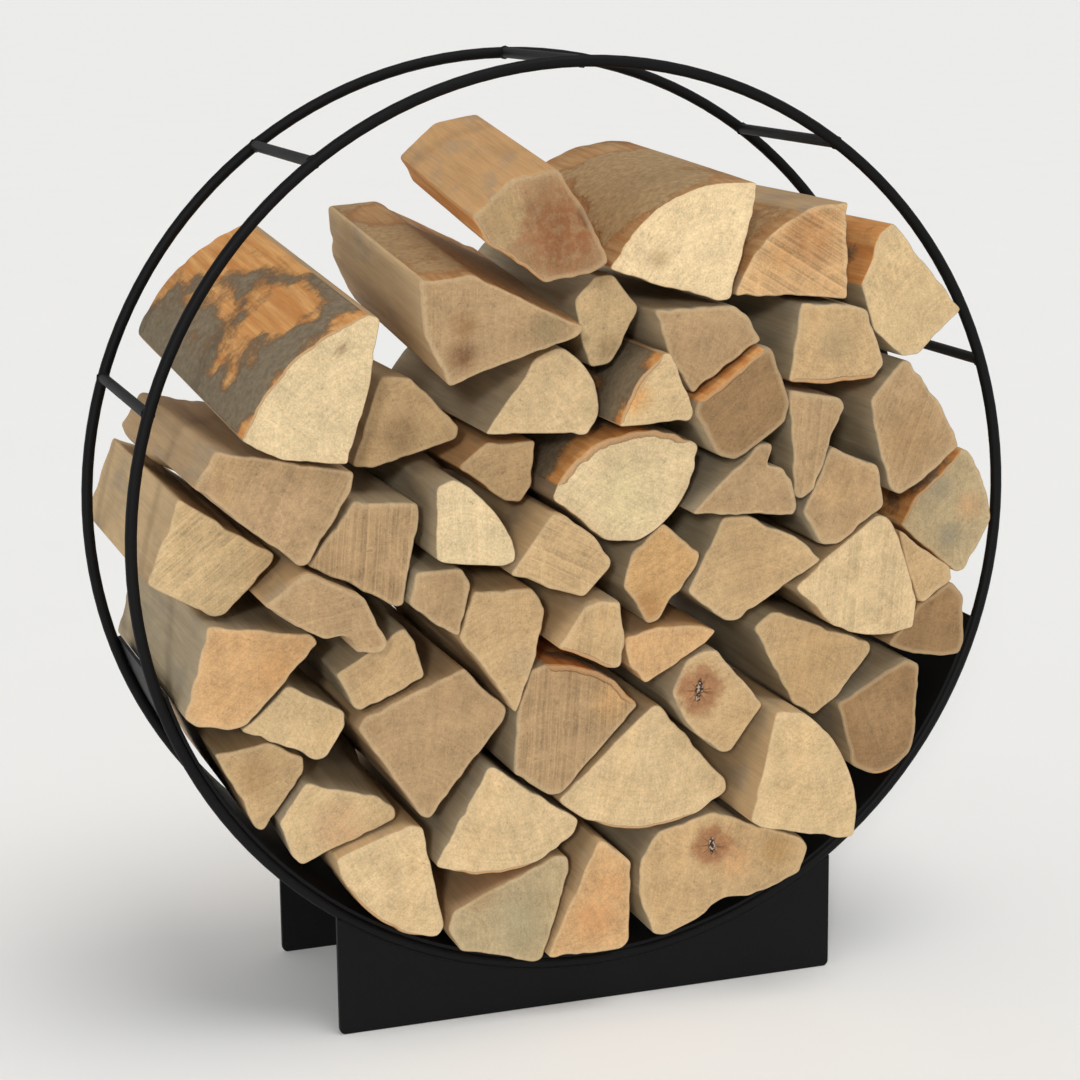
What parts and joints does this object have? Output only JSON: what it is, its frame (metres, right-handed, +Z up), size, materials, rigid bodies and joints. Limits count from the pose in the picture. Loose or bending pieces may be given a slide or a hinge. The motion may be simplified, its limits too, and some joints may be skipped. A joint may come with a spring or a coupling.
{
  "type": "firewood log rack",
  "caption": "Round firewood rack: two black steel hoops on flat plate feet, joined by cross bars and a curved tray, loaded with split logs.",
  "frame": {"origin": "on the floor, midway between the two feet and midway between the two hoops", "axes": "+Z up, the hoops' common axis along Y, front towards -Y, width along X"},
  "size_m": [0.8, 0.36, 0.8325],
  "materials": {
    "powder_coat": "satin black powder coat",
    "wood_pale": "sawn pale beech, dry",
    "wood_tan": "sawn tan beech, dry",
    "wood_brown": "sawn beech, darkened by age"
  },
  "bodies": {
    "rack": {"front_hoop": "powder_coat", "rear_hoop": "powder_coat", "tray": "powder_coat", "front_foot": "powder_coat", "rear_foot": "powder_coat", "top_rung": "powder_coat", "shoulder_rungs": "powder_coat", "side_rungs": "powder_coat"},
    "log_01": {"log_01": "wood_brown"},
    "log_02": {"log_02": "wood_pale"},
    "log_03": {"log_03": "wood_tan"},
    "log_04": {"log_04": "wood_pale"},
    "log_05": {"log_05": "wood_brown"},
    "log_06": {"log_06": "wood_pale"},
    "log_07": {"log_07": "wood_pale"},
    "log_08": {"log_08": "wood_pale"},
    "log_09": {"log_09": "wood_tan"},
    "log_10": {"log_10": "wood_tan"},
    "log_11": {"log_11": "wood_pale"},
    "log_12": {"log_12": "wood_tan"},
    "log_13": {"log_13": "wood_brown"},
    "log_14": {"log_14": "wood_brown"},
    "log_15": {"log_15": "wood_brown"},
    "log_16": {"log_16": "wood_tan"},
    "log_17": {"log_17": "wood_pale"},
    "log_18": {"log_18": "wood_brown"},
    "log_19": {"log_19": "wood_tan"},
    "log_20": {"log_20": "wood_tan"},
    "log_21": {"log_21": "wood_brown"},
    "log_22": {"log_22": "wood_tan"},
    "log_23": {"log_23": "wood_tan"},
    "log_24": {"log_24": "wood_pale"},
    "log_25": {"log_25": "wood_brown"},
    "log_26": {"log_26": "wood_tan"},
    "log_27": {"log_27": "wood_tan"},
    "log_28": {"log_28": "wood_pale"},
    "log_29": {"log_29": "wood_pale"},
    "log_30": {"log_30": "wood_tan"},
    "log_31": {"log_31": "wood_brown"},
    "log_32": {"log_32": "wood_brown"},
    "log_33": {"log_33": "wood_tan"},
    "log_34": {"log_34": "wood_brown"},
    "log_35": {"log_35": "wood_tan"},
    "log_36": {"log_36": "wood_tan"},
    "log_37": {"log_37": "wood_tan"},
    "log_38": {"log_38": "wood_tan"},
    "log_39": {"log_39": "wood_brown"},
    "log_40": {"log_40": "wood_tan"},
    "log_41": {"log_41": "wood_tan"},
    "log_42": {"log_42": "wood_pale"},
    "log_43": {"log_43": "wood_pale"},
    "log_44": {"log_44": "wood_tan"},
    "log_45": {"log_45": "wood_tan"},
    "log_46": {"log_46": "wood_brown"},
    "log_47": {"log_47": "wood_pale"},
    "log_48": {"log_48": "wood_pale"},
    "log_49": {"log_49": "wood_pale"},
    "log_50": {"log_50": "wood_pale"},
    "log_51": {"log_51": "wood_tan"},
    "log_52": {"log_52": "wood_tan"}
  },
  "joints": [
    {"name": "log_01_pull", "type": "slide", "parent": "rack", "child": "log_01", "axis": [0, -1, 0], "range_m": [0, 0.38]},
    {"name": "log_02_pull", "type": "slide", "parent": "rack", "child": "log_02", "axis": [0, -1, 0], "range_m": [0, 0.38]},
    {"name": "log_03_pull", "type": "slide", "parent": "rack", "child": "log_03", "axis": [0, -1, 0], "range_m": [0, 0.38]},
    {"name": "log_04_pull", "type": "slide", "parent": "rack", "child": "log_04", "axis": [0, -1, 0], "range_m": [0, 0.38]},
    {"name": "log_05_pull", "type": "slide", "parent": "rack", "child": "log_05", "axis": [-0.0306, -0.995, -0.0949], "range_m": [0, 0.75]},
    {"name": "log_06_pull", "type": "slide", "parent": "rack", "child": "log_06", "axis": [0, -1, 0], "range_m": [0, 0.38]},
    {"name": "log_07_pull", "type": "slide", "parent": "rack", "child": "log_07", "axis": [0, -1, 0], "range_m": [0, 0.38]},
    {"name": "log_08_pull", "type": "slide", "parent": "rack", "child": "log_08", "axis": [0, -1, 0], "range_m": [0, 0.38]},
    {"name": "log_09_pull", "type": "slide", "parent": "rack", "child": "log_09", "axis": [0, -1, 0], "range_m": [0, 0.38]},
    {"name": "log_10_pull", "type": "slide", "parent": "rack", "child": "log_10", "axis": [0, -1, 0], "range_m": [0, 0.38]},
    {"name": "log_11_pull", "type": "slide", "parent": "rack", "child": "log_11", "axis": [0, -1, 0], "range_m": [0, 0.38]},
    {"name": "log_12_pull", "type": "slide", "parent": "rack", "child": "log_12", "axis": [0, -1, 0], "range_m": [0, 0.38]},
    {"name": "log_13_pull", "type": "slide", "parent": "rack", "child": "log_13", "axis": [0, -1, 0], "range_m": [0, 0.38]},
    {"name": "log_14_pull", "type": "slide", "parent": "rack", "child": "log_14", "axis": [0, -1, 0], "range_m": [0, 0.38]},
    {"name": "log_15_pull", "type": "slide", "parent": "rack", "child": "log_15", "axis": [0, -1, 0], "range_m": [0, 0.38]},
    {"name": "log_16_pull", "type": "slide", "parent": "rack", "child": "log_16", "axis": [0, -1, 0], "range_m": [0, 0.38]},
    {"name": "log_17_pull", "type": "slide", "parent": "rack", "child": "log_17", "axis": [0, -1, 0], "range_m": [0, 0.38]},
    {"name": "log_18_pull", "type": "slide", "parent": "rack", "child": "log_18", "axis": [0, -1, 0], "range_m": [0, 0.38]},
    {"name": "log_19_pull", "type": "slide", "parent": "rack", "child": "log_19", "axis": [0, -1, 0], "range_m": [0, 0.38]},
    {"name": "log_20_pull", "type": "slide", "parent": "rack", "child": "log_20", "axis": [0, -1, 0], "range_m": [0, 0.38]},
    {"name": "log_21_pull", "type": "slide", "parent": "rack", "child": "log_21", "axis": [0, -1, 0], "range_m": [0, 0.38]},
    {"name": "log_22_pull", "type": "slide", "parent": "rack", "child": "log_22", "axis": [0, -1, 0], "range_m": [0, 0.38]},
    {"name": "log_23_pull", "type": "slide", "parent": "rack", "child": "log_23", "axis": [0, -1, 0], "range_m": [0, 0.38]},
    {"name": "log_24_pull", "type": "slide", "parent": "rack", "child": "log_24", "axis": [0, -1, 0], "range_m": [0, 0.38]},
    {"name": "log_25_pull", "type": "slide", "parent": "rack", "child": "log_25", "axis": [0, -1, 0], "range_m": [0, 0.38]},
    {"name": "log_26_pull", "type": "slide", "parent": "rack", "child": "log_26", "axis": [0, -1, 0], "range_m": [0, 0.38]},
    {"name": "log_27_pull", "type": "slide", "parent": "rack", "child": "log_27", "axis": [0, -1, 0], "range_m": [0, 0.38]},
    {"name": "log_28_pull", "type": "slide", "parent": "rack", "child": "log_28", "axis": [0, -1, 0], "range_m": [0, 0.38]},
    {"name": "log_29_pull", "type": "slide", "parent": "rack", "child": "log_29", "axis": [0, -1, 0], "range_m": [0, 0.38]},
    {"name": "log_30_pull", "type": "slide", "parent": "rack", "child": "log_30", "axis": [0, -1, 0], "range_m": [0, 0.38]},
    {"name": "log_31_pull", "type": "slide", "parent": "rack", "child": "log_31", "axis": [0, -1, 0], "range_m": [0, 0.38]},
    {"name": "log_32_pull", "type": "slide", "parent": "rack", "child": "log_32", "axis": [0, -1, 0], "range_m": [0, 0.38]},
    {"name": "log_33_pull", "type": "slide", "parent": "rack", "child": "log_33", "axis": [0, -1, 0], "range_m": [0, 0.38]},
    {"name": "log_34_pull", "type": "slide", "parent": "rack", "child": "log_34", "axis": [0, -1, 0], "range_m": [0, 0.38]},
    {"name": "log_35_pull", "type": "slide", "parent": "rack", "child": "log_35", "axis": [0, -1, 0], "range_m": [0, 0.38]},
    {"name": "log_36_pull", "type": "slide", "parent": "rack", "child": "log_36", "axis": [0, -1, 0], "range_m": [0, 0.38]},
    {"name": "log_37_pull", "type": "slide", "parent": "rack", "child": "log_37", "axis": [0, -1, 0], "range_m": [0, 0.38]},
    {"name": "log_38_pull", "type": "slide", "parent": "rack", "child": "log_38", "axis": [0, -1, 0], "range_m": [0, 0.38]},
    {"name": "log_39_pull", "type": "slide", "parent": "rack", "child": "log_39", "axis": [0, -1, 0], "range_m": [0, 0.38]},
    {"name": "log_40_pull", "type": "slide", "parent": "rack", "child": "log_40", "axis": [0, -1, 0], "range_m": [0, 0.38]},
    {"name": "log_41_pull", "type": "slide", "parent": "rack", "child": "log_41", "axis": [0, -1, 0], "range_m": [0, 0.38]},
    {"name": "log_42_pull", "type": "slide", "parent": "rack", "child": "log_42", "axis": [0, -1, 0], "range_m": [0, 0.38]},
    {"name": "log_43_pull", "type": "slide", "parent": "rack", "child": "log_43", "axis": [0, -1, 0], "range_m": [0, 0.38]},
    {"name": "log_44_pull", "type": "slide", "parent": "rack", "child": "log_44", "axis": [0, -1, 0], "range_m": [0, 0.38]},
    {"name": "log_45_pull", "type": "slide", "parent": "rack", "child": "log_45", "axis": [0, -1, 0], "range_m": [0, 0.38]},
    {"name": "log_46_pull", "type": "slide", "parent": "rack", "child": "log_46", "axis": [0, -1, 0], "range_m": [0, 0.38]},
    {"name": "log_47_pull", "type": "slide", "parent": "rack", "child": "log_47", "axis": [0, -1, 0], "range_m": [0, 0.38]},
    {"name": "log_48_pull", "type": "slide", "parent": "rack", "child": "log_48", "axis": [0, -1, 0], "range_m": [0, 0.38]},
    {"name": "log_49_pull", "type": "slide", "parent": "rack", "child": "log_49", "axis": [0, -1, 0], "range_m": [0, 0.38]},
    {"name": "log_50_pull", "type": "slide", "parent": "rack", "child": "log_50", "axis": [0, -1, 0], "range_m": [0, 0.38]},
    {"name": "log_51_pull", "type": "slide", "parent": "rack", "child": "log_51", "axis": [0, -1, 0], "range_m": [0, 0.38]},
    {"name": "log_52_pull", "type": "slide", "parent": "rack", "child": "log_52", "axis": [0, -1, 0], "range_m": [0, 0.38]}
  ]
}
